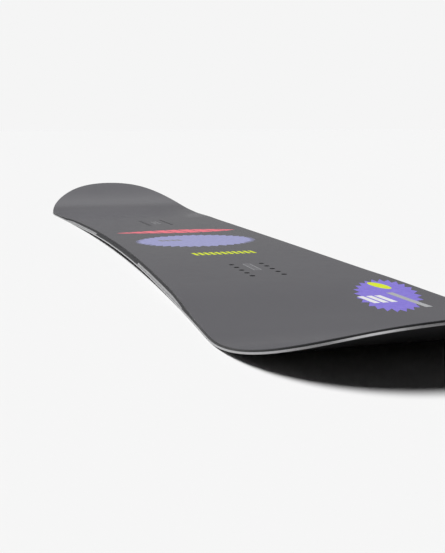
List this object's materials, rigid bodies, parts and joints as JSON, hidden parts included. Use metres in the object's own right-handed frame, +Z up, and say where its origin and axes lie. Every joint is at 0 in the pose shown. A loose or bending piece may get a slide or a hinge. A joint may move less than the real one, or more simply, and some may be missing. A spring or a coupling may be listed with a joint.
{
  "type": "snowboard",
  "caption": "Twin-tip snowboard without bindings: cambered sandwich board with steel edges, wood core and threaded insert packs.",
  "frame": {"origin": "on the ground under the middle of the board", "axes": "+X along the board towards the nose, +Y across it to the left, +Z up"},
  "size_m": [1.54, 0.299, 0.055],
  "materials": {
    "topsheet": "matte charcoal topsheet with a fine grain",
    "glass_laminate": "glass cloth in black-tinted epoxy",
    "base": "stone-ground sintered black plastic",
    "tip_fill": "black ABS sheet",
    "glass_mat": "bonded glass mat",
    "insert_steel": "stainless steel, turned",
    "edge_steel": "ground carbon steel edge",
    "rubber_foil": "thin black rubber foil",
    "damping_strip": "light grey urethane, machined flush with the sidewall",
    "sidewall": "dark grey ABS, machined",
    "core_dark_wood": "upright wood strip",
    "core_light_wood": "upright poplar strip"
  },
  "bodies": {
    "root": {"topsheet": "topsheet", "top_glass_laminate": "glass_laminate", "bottom_glass_laminate": "glass_laminate", "base_sheet": "base", "nose_tip_fill": "tip_fill", "tail_tip_fill": "tip_fill", "insert_pad_nose": "glass_mat", "insert_pad_tail": "glass_mat", "threaded_inserts_nose": "insert_steel", "threaded_inserts_tail": "insert_steel", "steel_edge_left": "edge_steel", "rubber_foil_left": "rubber_foil", "damping_strip_left_nose": "damping_strip", "damping_strip_left_tail": "damping_strip", "sidewall_left": "sidewall", "steel_edge_right": "edge_steel", "rubber_foil_right": "rubber_foil", "damping_strip_right_nose": "damping_strip", "damping_strip_right_tail": "damping_strip", "sidewall_right": "sidewall", "core_strip_centre": "core_dark_wood", "core_strip_left_1": "core_light_wood", "core_strip_left_2": "core_dark_wood", "core_strip_left_3": "core_light_wood", "core_strip_left_4": "core_dark_wood", "core_strip_left_5": "core_light_wood", "core_strip_right_1": "core_light_wood", "core_strip_right_2": "core_dark_wood", "core_strip_right_3": "core_light_wood", "core_strip_right_4": "core_dark_wood", "core_strip_right_5": "core_light_wood"}
  },
  "joints": []
}
